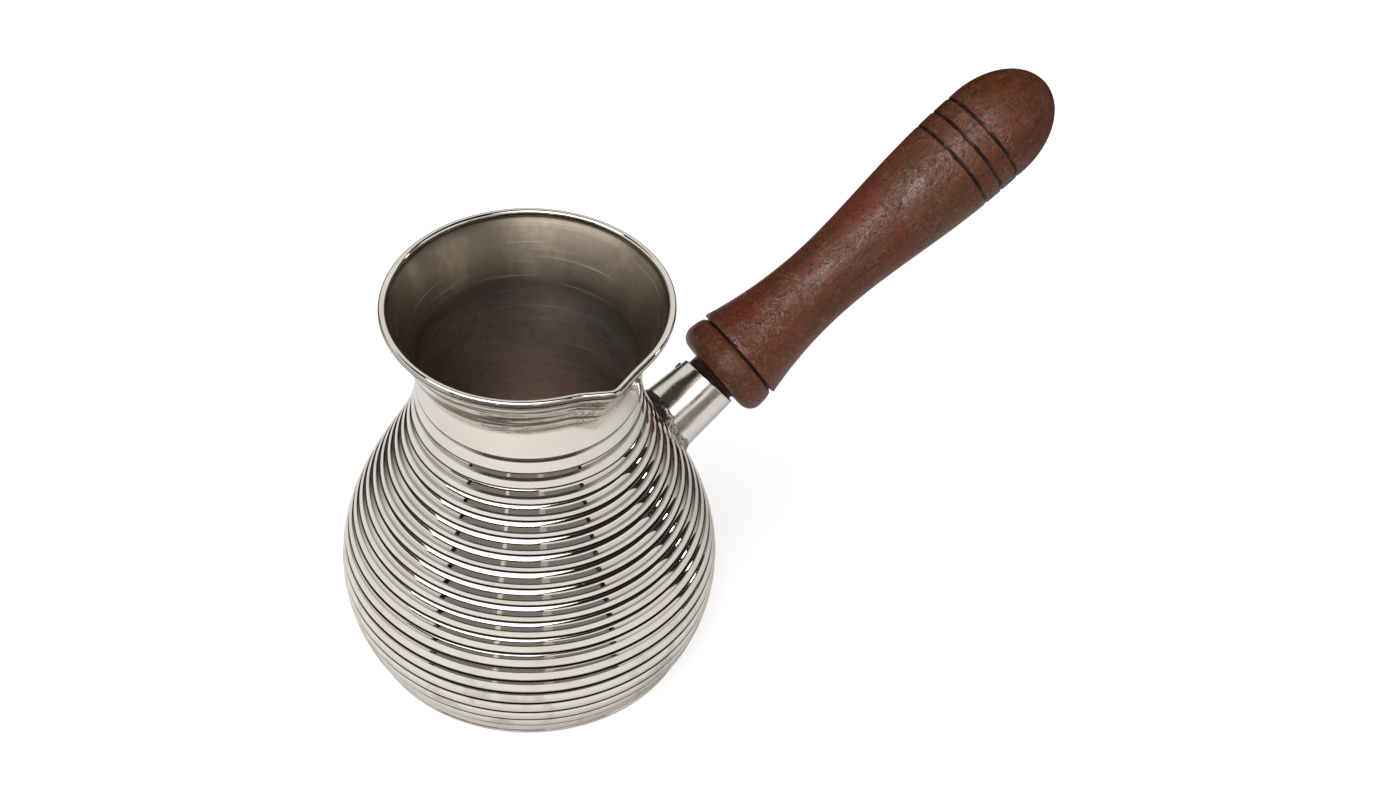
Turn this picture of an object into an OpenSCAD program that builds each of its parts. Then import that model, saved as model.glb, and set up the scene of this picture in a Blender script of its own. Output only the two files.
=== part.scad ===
// Long-handled coffee pot: a reeded, pear-shaped metal vessel with a flared mouth and a
// pouring lip, and a turned wooden handle that is pinned in a soldered socket.
// Origin: centre of the flat base, on the table. +X: the handle, seen from above. +Z: up.

/* [Vessel] */
// Height from the table to the top of the rim
vessel_h = 100; // [92:0.5:125]
// Diameter of the foot, where the belly's curve meets the table
foot_d = 77.2; // [60:0.2:84]
// Diameter of the belly over the crests of the reeds
belly_d = 88.8; // [86:0.2:104]
// Height of the widest part of the belly
belly_z = 20.8; // [14:0.2:28]
// Outside diameter of the neck at its narrowest
neck_d = 51.2; // [42:0.2:58]
// Height of the narrowest part of the neck
neck_z = 81.4; // [72:0.2:86]
// Outside diameter of the mouth over the rim wire
mouth_d = 65; // [61:0.2:74]
// How far the belly's curve stays upright above its widest part
belly_pull = 23.2; // [12:0.2:30]
// How far the neck's curve stays upright below its narrowest part
neck_pull = 25.2; // [12:0.2:30]
// Thickness of the wall under the crests of the reeds
wall = 1.1; // [0.9:0.05:1.6]
// Thickness of the disc that closes the foot
base_t = 1.3; // [0.8:0.1:3]

/* [Reeds] */
// Distance from one groove to the next along the wall
reed_pitch = 4; // [2.5:0.1:7]
// Depth of the grooves between the reeds
groove_depth = 0.5; // [0.2:0.05:0.7]
// How flat the reeds are: 2 is round, more is flatter with steeper grooves
reed_power = 2.6; // [2:0.1:5]
// Plain band along the wall below the lowest groove
foot_band = 4.3; // [3:0.1:10]
// Plain band along the wall between the top groove and the narrowest part of the neck
neck_band = 4.1; // [3:0.1:12]

/* [Mouth] */
// Width of the rim wire, seen from above
wire_w = 1.7; // [1.4:0.1:3]
// Height of the rim wire
wire_h = 1.3; // [1:0.1:3]
// How far the rim wire stands out over the edge of the wall
wire_overhang = 0.2; // [0:0.05:0.3]
// How far the pouring lip is drawn out beyond the round mouth
lip_reach = 1.7; // [0.8:0.1:3]
// How far the pouring lip runs down the wall
lip_drop = 8.5; // [5:0.5:12]
// Direction of the pouring lip, seen from above, from the handle
lip_angle = -86; // [-120:1:120]

/* [Socket] */
// Angle of the socket and handle above the horizontal
handle_tilt = 30; // [15:1:40]
// Height at which the handle's axis crosses the vessel's centre line
handle_z = 24.3; // [20:0.1:32]
// Length of the socket along its axis
socket_len = 14.1; // [10:0.1:25]
// Outside diameter of the socket where it meets the vessel
socket_root_d = 16.6; // [15.4:0.1:20]
// Outside diameter of the socket at its mouth
socket_mouth_d = 14.7; // [12:0.1:15.2]
// Thickness of the socket's wall
socket_wall = 0.9; // [0.6:0.1:1.5]
// Width of the solder seam round the root of the socket
solder_w = 1.2; // [0.6:0.1:2]
// Height of the solder seam along the socket
solder_h = 2.2; // [1.4:0.1:3]

/* [Handle] */
// Length of the wooden grip from its collar to its tip
grip_len = 105.8; // [98:0.2:130]
// Gap between the mouth of the socket and the collar, where the tenon shows
collar_gap = 1.7; // [0:0.1:4]
// Length of the tenon inside the socket
tenon_len = 10; // [6:0.5:11]
// Clearance round the tenon and the pin
fit_gap = 0.05; // [0.02:0.01:0.15]
// Diameter of the collar bead
collar_d = 24.8; // [20:0.1:30]
// Width of the collar bead
collar_w = 7.3; // [5:0.1:10]
// Depth of the groove behind the collar bead
collar_groove = 1.4; // [0.5:0.1:2]
// Diameter of the grip just behind the groove
shoulder_d = 24.6; // [20:0.1:30]
// Diameter of the grip's waist
waist_d = 18.3; // [15:0.1:22]
// Distance from the collar's face to the waist
waist_x = 34; // [26:0.5:42]
// Diameter of the bulb at the end of the grip
bulb_d = 25; // [20:0.1:30]
// Distance from the collar's face to where the bulb is fullest
bulb_x = 82; // [76:0.5:84]
// Length of the rounded tip
tip_len = 17.8; // [10:0.2:22]
// Number of scribed rings on the bulb
ring_count = 3; // [1:1:4]
// Distance between scribed rings
ring_pitch = 4.9; // [3:0.1:6]
// Distance from the collar's face to the first scribed ring
ring_x = 76; // [70:0.5:78]
// Width of a scribed ring
ring_w = 0.9; // [0.4:0.1:1.5]
// Depth of a scribed ring
ring_depth = 0.55; // [0.2:0.05:1]

/* [Pin] */
// Diameter of the cross pin
pin_d = 1.8; // [1:0.1:3]
// Distance of the pin from the mouth of the socket
pin_inset = 3.2; // [2:0.1:6]
// Turn of the pin about the handle's axis, from upright
pin_turn = 54; // [0:1:90]
// How far the pin's ends stand out of the socket
pin_proud = 0.3; // [0.1:0.05:0.6]

/* [Hidden] */
$fn = 240;

silver = "#cdc7bb";
solder_grey = "#8f8c86";
wood_brown = "#6b3f2d";

// Steps of the curves
curve_steps = 40;
reed_steps = 6;
plain_steps = 16;
arc_steps = 12;
// Step along the wall that a slope is read over
slope_step = 0.4;
// Overlap of a cutting shape with what it cuts
cut_over = 1;
// Share of the base disc's thickness that its lower edge is rounded by
disc_round = 0.6;
// Share of the rim wire's height that is upright, under its round top
wire_upright = 0.4;
// Round front of the collar bead as a share of its width, and the fall of its back as a share of its radius
collar_front_share = 0.45;
collar_back_share = 0.08;
// Pulls of the curve from the groove to the waist: fall in diameter, and the two distances
hollow_fall = 0.32;
hollow_from = 0.48;
hollow_to = 0.72;
// Pulls of the curve from the waist to the bulb
bulb_from = 0.31;
bulb_to = 0.37;

foot_r = foot_d / 2;
belly_r = belly_d / 2;
neck_r = neck_d / 2;
mouth_z = vessel_h - wire_h;
mouth_r = mouth_d / 2 - wire_overhang;

function bezier(p, t) = pow(1 - t, 3) * p[0] + 3 * pow(1 - t, 2) * t * p[1]
    + 3 * (1 - t) * t * t * p[2] + pow(t, 3) * p[3];
function bezier_points(p, n) = [for (i = [1 : n]) bezier(p, i / n)];
// Radius of the arc that starts upright and ends a given run and rise away
function arc_radius(run, rise) = (run * run + rise * rise) / (2 * run);

// Crest line of the wall from the foot to the mouth, as points of radius and height
belly_arc = arc_radius(belly_r - foot_r, belly_z);
belly_from = asin((belly_z - base_t) / belly_arc);
belly_points = [for (i = [0 : curve_steps]) let (a = belly_from * (1 - i / curve_steps))
    [belly_r - belly_arc * (1 - cos(a)), belly_z - belly_arc * sin(a)]];
shoulder_points = bezier_points([[belly_r, belly_z], [belly_r, belly_z + belly_pull],
    [neck_r, neck_z - neck_pull], [neck_r, neck_z]], 2 * curve_steps);
flare_arc = arc_radius(mouth_r - neck_r, mouth_z - neck_z);
flare_to = asin((mouth_z - neck_z) / flare_arc);
flare_points = [for (i = [1 : curve_steps]) let (a = flare_to * i / curve_steps)
    [neck_r + flare_arc * (1 - cos(a)), neck_z + flare_arc * sin(a)]];
crest = concat(belly_points, shoulder_points, flare_points);

// The same line by its length along the wall
crest_s = [for (i = 0, s = 0; i < len(crest); i = i + 1,
    s = i < len(crest) ? s + norm(crest[i] - crest[i - 1]) : s) s];
crest_last = len(crest) - 1;
r_by_s = [for (i = [0 : crest_last]) [crest_s[i], crest[i].x]];
z_by_s = [for (i = [0 : crest_last]) [crest_s[i], crest[i].y]];
r_by_z = [for (p = crest) [p.y, p.x]];
wall_len = crest_s[crest_last];
neck_s = crest_s[len(belly_points) + len(shoulder_points) - 1];

function crest_at(s) = [lookup(s, r_by_s), lookup(s, z_by_s)];
function outward_at(s) = let (d = crest_at(s + slope_step) - crest_at(s - slope_step))
    [d.y, -d.x] / norm(d);

// Reeds at an even pitch, with half a reed easing into each plain band
reed_gaps = round((neck_s - neck_band - foot_band) / reed_pitch);
reeds_from = foot_band - reed_pitch / 2;
reeds_to = foot_band + reed_pitch * (reed_gaps + 0.5);
function reed_depth(s) = let (u = (s - foot_band) / reed_pitch, v = u - floor(u))
    s <= reeds_from || s >= reeds_to ? 0 : groove_depth * pow(abs(2 * v - 1), reed_power);
reed_stations = [for (k = [0 : (reed_gaps + 1) * reed_steps]) reeds_from + reed_pitch * k / reed_steps];
plain_stations = [for (k = [1 : plain_steps]) reeds_to + (wall_len - reeds_to) * k / plain_steps];
outer_points = [for (s = concat([0], reed_stations, plain_stations))
    crest_at(s) - reed_depth(s) * outward_at(s)];
inner_points = [for (k = [0 : curve_steps]) let (s = wall_len * k / curve_steps)
    crest_at(s) - wall * outward_at(s)];
inner_r_by_z = [for (p = inner_points) [p.y, p.x]];
inner_top = inner_points[curve_steps];

// Pouring lip: two straight walls that leave the round mouth and meet in a corner, a little inside the
// rim wire's corner
lip_half = acos(mouth_r / (mouth_r + lip_reach));
lip_z = mouth_z - lip_drop;
lip_outer_r = mouth_r + lip_reach - wall / 2;
lip_inner_r = lip_outer_r - (mouth_r - lookup(mouth_z, inner_r_by_z)) / cos(lip_half);

// Handle axis: distance along it from the vessel's centre line to the crest of the wall
function axis_clear(s) = s * cos(handle_tilt) - lookup(handle_z + s * sin(handle_tilt), r_by_z);
function wall_crossing(lo, hi, n) = let (m = (lo + hi) / 2)
    n == 0 ? m : axis_clear(m) > 0 ? wall_crossing(lo, m, n - 1) : wall_crossing(m, hi, n - 1);
root_s = wall_crossing(0, belly_d, 30);
socket_s = root_s + socket_len;
collar_s = socket_s + collar_gap;
pin_s = socket_s - pin_inset;
// How far a socket runs in past the crest before the wall cuts it off
root_sink = socket_root_d / 4;

function socket_r(s) = (socket_root_d + (socket_mouth_d - socket_root_d) * (s - root_s) / socket_len) / 2;
tenon_r = socket_mouth_d / 2 - socket_wall - fit_gap;

module along_handle() {
    translate([0, 0, handle_z]) rotate([0, 90 - handle_tilt, 0]) children();
}

module across_pin() {
    translate([0, 0, pin_s]) rotate([0, 0, -pin_turn]) rotate([0, 90, 0]) children();
}

// Outside of the shell as a solid, with the flare carried on above the mouth by a given height
module vessel_solid(above) {
    rotate_extrude() polygon(concat([[0, base_t]], outer_points,
        [[mouth_r + above * tan(flare_to), mouth_z + above], [0, mouth_z + above]]));
}

module vessel_hollow() {
    rotate_extrude() polygon(concat([[0, base_t - cut_over], [inner_points[0].x, base_t - cut_over]],
        inner_points, [[0, inner_top.y]]));
}

// Wedge of the pouring lip, whose ridge leans out from the flare to the corner at the mouth
module lip_wedge(top_r, low_r) {
    lean = atan((top_r - low_r) / lip_drop);
    depth = 2 * wall;
    half_w = depth / tan(lip_half) / cos(lean);
    rotate(lip_angle) translate([low_r, 0, lip_z]) rotate([0, lean, 0]) translate([0, 0, -2 * cut_over])
        linear_extrude(lip_drop / cos(lean) + 5 * cut_over)
            polygon([[0, 0], [-depth, half_w], [-depth, -half_w]]);
}

// Reeded shell with its neck, flared mouth and pouring lip
module vessel_body() {
    color(silver) intersection() {
        difference() {
            union() {
                vessel_solid(cut_over);
                lip_wedge(lip_outer_r, lookup(lip_z, r_by_z));
            }
            vessel_hollow();
            lip_wedge(lip_inner_r, lookup(lip_z, inner_r_by_z));
        }
        cylinder(r = belly_d, h = mouth_z);
    }
}

// Flat disc under the shell, with its lower edge rounded
module base_disc() {
    edge = base_t * disc_round;
    disc_r = crest[0].x;
    color(silver) rotate_extrude() polygon(concat([[0, 0]],
        [for (i = [0 : arc_steps / 2]) let (a = 180 * i / arc_steps)
            [disc_r - edge + edge * sin(a), edge - edge * cos(a)]],
        [[disc_r, base_t], [0, base_t]]));
}

module wire_section() {
    side_h = wire_h * wire_upright;
    translate([mouth_d / 2 - wire_w / 2, mouth_z])
        polygon(concat([[-wire_w / 2, 0], [wire_w / 2, 0]],
            [for (i = [0 : arc_steps]) let (a = 180 * i / arc_steps)
                [wire_w / 2 * cos(a), side_h + (wire_h - side_h) * sin(a)]]));
}

// Half-round wire on the edge of the mouth, mitred at the corner of the lip
module rim_wire() {
    color(silver) rotate(lip_angle) {
        rotate(lip_half) rotate_extrude(angle = 360 - 2 * lip_half) wire_section();
        for (side = [0, 1]) mirror([0, side, 0]) intersection() {
            rotate(lip_half) rotate([90, 0, 0]) linear_extrude(mouth_d * sin(lip_half)) wire_section();
            translate([0, 0, mouth_z - cut_over]) cube([mouth_d, mouth_d, wire_h + 2 * cut_over]);
        }
    }
}

module socket_cone(from, to, inset) {
    translate([0, 0, from]) cylinder(r1 = socket_r(from) - inset, r2 = socket_r(to) - inset, h = to - from);
}

// Tapered tube that stands square on the shoulder, fitted to the reeds
module handle_socket() {
    color(silver) difference() {
        along_handle() difference() {
            socket_cone(root_s - root_sink, socket_s, 0);
            socket_cone(root_s - root_sink - cut_over, socket_s + cut_over, socket_wall);
            across_pin() cylinder(d = pin_d + 2 * fit_gap, h = 2 * socket_root_d, center = true);
        }
        vessel_solid(cut_over);
    }
}

// Fillet of solder in the corner between the socket and the reeds
module socket_solder() {
    slope = solder_w / solder_h;
    top_s = root_s + solder_h;
    low_s = root_s - root_sink;
    color(solder_grey) difference() {
        along_handle() difference() {
            translate([0, 0, low_s]) cylinder(h = top_s - low_s,
                r1 = socket_r(top_s) + slope * (top_s - low_s), r2 = socket_r(top_s));
            socket_cone(low_s - cut_over, socket_s, 0);
        }
        vessel_solid(cut_over);
    }
}

// Turned grip, from the tenon to the tip, as points of radius and distance from the collar's face
collar_r = collar_d / 2;
collar_front = collar_w * collar_front_share;
collar_back = collar_r * collar_back_share;
tip_x = grip_len - tip_len;
tenon_points = [[0, -collar_gap - tenon_len], [tenon_r, -collar_gap - tenon_len], [tenon_r, 0]];
collar_points = concat(
    [for (i = [0 : arc_steps]) let (a = 90 * i / arc_steps)
        [collar_r - collar_front * (1 - sin(a)), collar_front * (1 - cos(a))]],
    [for (i = [1 : arc_steps]) let (a = 90 * i / arc_steps)
        [collar_r - collar_back * (1 - cos(a)), collar_front + (collar_w - collar_front) * sin(a)]]);
groove_points = [[collar_r - collar_groove, collar_w + collar_groove / 4],
    [shoulder_d / 2, collar_w + collar_groove / 2]];
grip_points = concat(
    bezier_points([groove_points[1],
        [shoulder_d / 2 - (shoulder_d - waist_d) * hollow_fall, waist_x * hollow_from],
        [waist_d / 2, waist_x * hollow_to], [waist_d / 2, waist_x]], arc_steps),
    bezier_points([[waist_d / 2, waist_x], [waist_d / 2, waist_x + (bulb_x - waist_x) * bulb_from],
        [bulb_d / 2, bulb_x - (bulb_x - waist_x) * bulb_to], [bulb_d / 2, bulb_x]], 2 * arc_steps));
tip_points = [for (i = [0 : 2 * arc_steps]) let (a = 45 * i / arc_steps)
    [bulb_d / 2 * cos(a), tip_x + tip_len * sin(a)]];

module scribed_ring(x) {
    rotate_extrude() translate([bulb_d / 2, x])
        polygon([[-ring_depth, 0], [ring_depth, -ring_w], [ring_depth, ring_w]]);
}

module wood_handle() {
    color(wood_brown) along_handle() difference() {
        translate([0, 0, collar_s]) difference() {
            rotate_extrude()
                polygon(concat(tenon_points, collar_points, groove_points, grip_points, tip_points));
            for (i = [0 : ring_count - 1]) scribed_ring(ring_x + i * ring_pitch);
        }
        across_pin() cylinder(d = pin_d + 2 * fit_gap, h = 2 * socket_root_d, center = true);
    }
}

// Cross pin through the socket and the tenon
module handle_pin() {
    color(silver) along_handle() across_pin()
        cylinder(d = pin_d, h = 2 * (socket_r(pin_s) + pin_proud), center = true);
}

vessel_body();
base_disc();
rim_wire();
handle_socket();
socket_solder();
wood_handle();
handle_pin();
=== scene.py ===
import math
import bmesh
import bpy
from mathutils import Matrix, Vector, noise


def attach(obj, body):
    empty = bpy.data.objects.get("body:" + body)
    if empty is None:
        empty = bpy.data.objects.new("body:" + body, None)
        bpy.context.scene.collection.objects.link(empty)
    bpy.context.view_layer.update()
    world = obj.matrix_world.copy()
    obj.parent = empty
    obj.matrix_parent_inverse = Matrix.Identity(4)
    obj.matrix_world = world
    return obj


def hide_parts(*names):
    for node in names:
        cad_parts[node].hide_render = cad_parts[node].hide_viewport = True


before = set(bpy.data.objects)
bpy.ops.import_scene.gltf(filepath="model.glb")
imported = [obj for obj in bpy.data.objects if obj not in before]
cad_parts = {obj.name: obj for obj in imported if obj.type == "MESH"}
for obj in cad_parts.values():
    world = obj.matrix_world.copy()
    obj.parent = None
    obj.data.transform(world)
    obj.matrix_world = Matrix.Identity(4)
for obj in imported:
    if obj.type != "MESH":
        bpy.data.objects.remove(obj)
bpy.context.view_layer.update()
mm = 0.001
print("frame loaded:", ", ".join(sorted(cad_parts)))


# helpers for shapes, in mm
def smoothStep(low, high, value):
    t = min(1.0, max(0.0, (value - low) / (high - low)))
    return t * t * (3 - 2 * t)


def lookUp(table, x):
    # straight-line reading of a table of (x, y) pairs
    if x <= table[0][0]:
        return table[0][1]
    for (x0, y0), (x1, y1) in zip(table, table[1:]):
        if x <= x1:
            return y0 + (y1 - y0) * (x - x0) / (x1 - x0)
    return table[-1][1]


def quarterTurn(count, first=0):
    # (sine, cosine) at even steps of a right angle
    angles = [math.pi / 2 * i / count for i in range(first, count + 1)]
    return [(math.sin(a), math.cos(a)) for a in angles]


def bezierPoints(pulls, count):
    # points along a curve with four pull points, without its start
    p = [Vector(pull) for pull in pulls]
    points = []
    for i in range(1, count + 1):
        t = i / count
        u = 1 - t
        points.append(tuple(u ** 3 * p[0] + 3 * u ** 2 * t * p[1] + 3 * u * t * t * p[2] + t ** 3 * p[3]))
    return points


def vertsIn(geom):
    return [g for g in geom if isinstance(g, bmesh.types.BMVert)]


def profileChain(bm, points, closed, layers=()):
    # one chain of edges in the XZ plane, from points as (radius, height, layer values...)
    verts = []
    for point in points:
        vert = bm.verts.new((point[0] * mm, 0, point[1] * mm))
        for layer, value in zip(layers, point[2:]):
            vert[layer] = value
        verts.append(vert)
    ends = verts[1:] + verts[:1] if closed else verts[1:]
    return verts + [bm.edges.new(pair) for pair in zip(verts, ends)]


def turnAround(bm, geom, startAngle, spans):
    # spins a chain about Z in spans of (degrees, steps), starting at an angle
    start = Matrix.Rotation(math.radians(startAngle), 3, "Z")
    bmesh.ops.rotate(bm, cent=(0, 0, 0), matrix=start, verts=vertsIn(geom))
    for degrees, steps in spans:
        spun = bmesh.ops.spin(bm, geom=geom, cent=(0, 0, 0), axis=(0, 0, 1), dvec=(0, 0, 0), steps=steps,
                              angle=math.radians(degrees), use_merge=False, use_duplicate=False)
        geom = spun["geom_last"]
    bmesh.ops.remove_doubles(bm, verts=bm.verts, dist=1e-6)
    bmesh.ops.recalc_face_normals(bm, faces=bm.faces)


def meshObject(name, bm, materials):
    mesh = bpy.data.meshes.new(name)
    bm.to_mesh(mesh)
    bm.free()
    for material in materials:
        mesh.materials.append(material)
    made = bpy.data.objects.new(name, mesh)
    bpy.context.scene.collection.objects.link(made)
    return made


def finishPiece(name, bm, materials, nodeName):
    for face in bm.faces:
        face.smooth = True
    piece = meshObject(name, bm, materials)
    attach(piece, "root")
    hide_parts(nodeName)
    print("made", name, "with", len(piece.data.polygons), "faces")
    return piece


# helpers for materials
def plug(tree, node, sockets):
    # sockets: name or number of an input, with a value or an output to link from
    for key, value in sockets.items():
        if isinstance(value, bpy.types.NodeSocket):
            tree.links.new(value, node.inputs[key])
        else:
            node.inputs[key].default_value = value


def addNode(tree, kind, sockets=None, **settings):
    made = tree.nodes.new(kind)
    for key, value in settings.items():
        setattr(made, key, value)
    plug(tree, made, sockets or {})
    return made


def addMath(tree, operation, *values, clamp=False):
    sockets = dict(enumerate(values))
    return addNode(tree, "ShaderNodeMath", sockets, operation=operation, use_clamp=clamp).outputs[0]


def times(tree, *values):
    product = values[0]
    for value in values[1:]:
        product = addMath(tree, "MULTIPLY", product, value)
    return product


def timesPlus(tree, value, factor, extra, clamp=False):
    return addMath(tree, "MULTIPLY_ADD", value, factor, extra, clamp=clamp)


def mapRange(tree, value, low, high):
    # 0 at low, 1 at high and held beyond them; low may be the greater
    sockets = {"Value": value, "From Min": low, "From Max": high}
    return addNode(tree, "ShaderNodeMapRange", sockets).outputs[0]


def zoneMask(tree, length, zone):
    # mapRange between two lengths given in mm
    return mapRange(tree, length, zone[0] * mm, zone[1] * mm)


def addNoise(tree, vector, scale, detail=2, roughness=0.5, distortion=0):
    sockets = {"Vector": vector, "Scale": scale, "Detail": detail, "Roughness": roughness,
               "Distortion": distortion}
    return addNode(tree, "ShaderNodeTexNoise", sockets).outputs["Fac"]


def addRamp(tree, value, stops):
    # stops as (place, grey or colour)
    made = addNode(tree, "ShaderNodeValToRGB", {"Fac": value})
    elements = made.color_ramp.elements
    while len(elements) < len(stops):
        elements.new(0.5)
    for element, (place, shade) in zip(elements, stops):
        element.position = place
        element.color = (*shade, 1) if isinstance(shade, tuple) else (shade, shade, shade, 1)
    return made.outputs["Color"]


def addMix(tree, factor, first, second):
    first, second = ((*shade, 1) if isinstance(shade, tuple) else shade for shade in (first, second))
    return addNode(tree, "ShaderNodeMix", {0: factor, 6: first, 7: second}, data_type="RGBA").outputs[2]


def tinted(tree, colour, shade, *masks):
    # mixes a shade into a colour by the product of the masks
    return addMix(tree, times(tree, *masks), colour, shade)


def addBump(tree, height, strength, depth, under=None):
    # depth in mm; under is the normal of a bump below this one
    sockets = {"Height": height, "Strength": strength, "Distance": depth * mm}
    if under is not None:
        sockets["Normal"] = under
    return addNode(tree, "ShaderNodeBump", sockets).outputs[0]


def objectPlace(tree):
    return tree.nodes.new("ShaderNodeTexCoord").outputs["Object"]


def upward(tree, vector):
    return addNode(tree, "ShaderNodeSeparateXYZ", {0: vector}).outputs["Z"]


def drawnOut(tree, vector, scale):
    return addNode(tree, "ShaderNodeMapping", {"Vector": vector, "Scale": scale}).outputs[0]


def dotWith(tree, vector, direction):
    made = addNode(tree, "ShaderNodeVectorMath", {0: vector, 1: direction}, operation="DOT_PRODUCT")
    return made.outputs["Value"]


def lengthOf(tree, vector):
    return addNode(tree, "ShaderNodeVectorMath", {0: vector}, operation="LENGTH").outputs["Value"]


def storedMask(tree, name):
    return addNode(tree, "ShaderNodeAttribute", attribute_name=name).outputs["Fac"]


def newMaterial(name):
    material = bpy.data.materials.new(name)
    material.use_nodes = True
    return material, material.node_tree, material.node_tree.nodes["Principled BSDF"]


def newGroup(name, numbers, results):
    # a group with a Vector, some named numbers to put in, and some named masks to get out
    tree = bpy.data.node_groups.new(name, "ShaderNodeTree")
    tree.interface.new_socket(name="Vector", in_out="INPUT", socket_type="NodeSocketVector")
    for label, value in numbers.items():
        number = tree.interface.new_socket(name=label, in_out="INPUT", socket_type="NodeSocketFloat")
        number.default_value = value
    for label in results:
        tree.interface.new_socket(name=label, in_out="OUTPUT", socket_type="NodeSocketFloat")
    return tree, tree.nodes.new("NodeGroupInput").outputs, tree.nodes.new("NodeGroupOutput")


def useGroup(tree, group, sockets):
    return addNode(tree, "ShaderNodeGroup", sockets, node_tree=group).outputs


# camera at the photograph's angle: its place in mm, and its own axes as directions
view = {"place": (-193.015, -336.301, 445.38), "right": (0.83723, -0.54497, 0.04481),
        "up": (0.35178, 0.5995, 0.71898), "back": (-0.4187, -0.5862, 0.6936),
        "lens": 61.455, "sensor": 36, "nearest": 10}


def makeCamera():
    data = bpy.data.cameras.new("camera")
    data.lens = view["lens"]
    data.sensor_width = view["sensor"]
    data.sensor_fit = "HORIZONTAL"
    data.clip_start = view["nearest"] * mm
    camera = bpy.data.objects.new("camera", data)
    bpy.context.scene.collection.objects.link(camera)
    axes = Matrix((view["right"], view["up"], view["back"])).transposed()
    turned = axes.to_quaternion().to_matrix().to_4x4()
    camera.matrix_world = Matrix.Translation(Vector(view["place"]) * mm) @ turned
    bpy.context.scene.camera = camera
    print("camera placed")


makeCamera()

# vessel and the wire round its mouth; the crest line of the wall is drawn as in the part's source
vessel = {"height": 100, "footD": 77.2, "bellyD": 88.8, "bellyZ": 20.8, "neckD": 50.6, "neckZ": 79,
          "mouthD": 65, "bellyPull": 22.3, "neckPull": 20.5, "wall": 1.1, "baseT": 1.3,
          "footSteps": 59, "sideSteps": 160, "flareSteps": 60, "insideSteps": 60,
          "reedPitch": 4, "grooveDepth": 0.62, "reedPower": 2.8, "reedSteps": 12, "crowding": 0.145,
          "footBand": 4.3, "neckBand": 2.1, "plainSteps": 40, "topShallow": 0.6, "topReach": 20,
          "lowTarnish": 0.24, "lowZ": (20, 45), "topThin": 0.18, "seam": (1.6, 0.9),
          "lipAngle": -86, "lipSpan": 70, "lipSteps": 90, "restSteps": 140,
          "waves": [(0.035, 0.11), (0.05, 0.035)], "wavesFromZ": (3, 9)}  # waves as (height, closeness)
rim = {"width": 1.7, "height": 1.3, "overhang": 0.2, "roundness": 2.4, "edge": 0.12, "points": 22,
       "seamPoints": 2}
mouthZ = vessel["height"] - rim["height"]
mouthR = vessel["mouthD"] / 2 - rim["overhang"]

# how far the mouth is out of round, in mm, by degrees from the pouring lip
mouthOut = [(-120, 0), (-96, -0.15), (-72, -0.2), (-60, -0.3), (-48, -0.5), (-36, -0.75), (-24, -1.05),
            (-17, -1.1), (-13, -0.9), (-10, -0.4), (-7, 0.15), (-4, 0.9), (-1.5, 1.45), (0, 1.4), (3, 0.8),
            (7, 0.1), (10, -0.3), (14, -0.6), (20, -0.75), (33, -0.6), (45, -0.45), (60, -0.2), (75, 0)]
mouthFadeZ = (78, 98.5)
frontFlare = {"out": 0.6, "z": 90, "spread": 6, "fromZ": 74,
              "turns": [(-125, 0), (-98, 1), (4, 1), (38, 0)]}


def arcRadius(run, rise):
    return (run * run + rise * rise) / (2 * run)


def crestLine():
    # foot, side and flare of the wall as (radius, height), and the number of the point at the neck
    footR, bellyR, neckR = vessel["footD"] / 2, vessel["bellyD"] / 2, vessel["neckD"] / 2
    bellyZ, neckZ = vessel["bellyZ"], vessel["neckZ"]
    bellyArc = arcRadius(bellyR - footR, bellyZ)
    startAngle = math.asin((bellyZ - vessel["baseT"]) / bellyArc)
    line = []
    for i in range(vessel["footSteps"] + 1):
        a = startAngle * (1 - i / vessel["footSteps"])
        line.append(Vector((bellyR - bellyArc * (1 - math.cos(a)), bellyZ - bellyArc * math.sin(a))))
    pulls = [(bellyR, bellyZ), (bellyR, bellyZ + vessel["bellyPull"]), (neckR, neckZ - vessel["neckPull"]),
             (neckR, neckZ)]
    line += [Vector(point) for point in bezierPoints(pulls, vessel["sideSteps"])]
    neckNumber = len(line) - 1
    flareArc = arcRadius(mouthR - neckR, mouthZ - neckZ)
    endAngle = math.asin((mouthZ - neckZ) / flareArc)
    for i in range(1, vessel["flareSteps"] + 1):
        a = endAngle * i / vessel["flareSteps"]
        line.append(Vector((neckR + flareArc * (1 - math.cos(a)), neckZ + flareArc * math.sin(a))))
    return line, neckNumber


crest, neckNumber = crestLine()
crestLength = [0.0]
for start, end in zip(crest, crest[1:]):
    crestLength.append(crestLength[-1] + (end - start).length)
radiusByLength = [(s, p.x) for s, p in zip(crestLength, crest)]
heightByLength = [(s, p.y) for s, p in zip(crestLength, crest)]
radiusByHeight = [(p.y, p.x) for p in crest]
wallLength = crestLength[-1]
neckLength = crestLength[neckNumber]
reedGaps = round((neckLength - vessel["neckBand"] - vessel["footBand"]) / vessel["reedPitch"])
reedsFrom = vessel["footBand"] - vessel["reedPitch"] / 2
reedsTo = vessel["footBand"] + vessel["reedPitch"] * (reedGaps + 0.5)
lipSpans = [(vessel["lipSpan"], vessel["lipSteps"]), (360 - vessel["lipSpan"], vessel["restSteps"])]
lipStart = vessel["lipAngle"] - vessel["lipSpan"] / 2


def crestAt(s):
    return Vector((lookUp(radiusByLength, s), lookUp(heightByLength, s)))


def outwardAt(s):
    reach = 0.3
    d = crestAt(min(wallLength, s + reach)) - crestAt(max(0, s - reach))
    return Vector((d.y, -d.x)).normalized()


def reedShare(s):
    # 0 on the crest of a reed, 1 at the bottom of a groove
    if s <= reedsFrom or s >= reedsTo:
        return 0.0
    u = (s - vessel["footBand"]) / vessel["reedPitch"]
    return abs(2 * (u - math.floor(u)) - 1) ** vessel["reedPower"]


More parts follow.
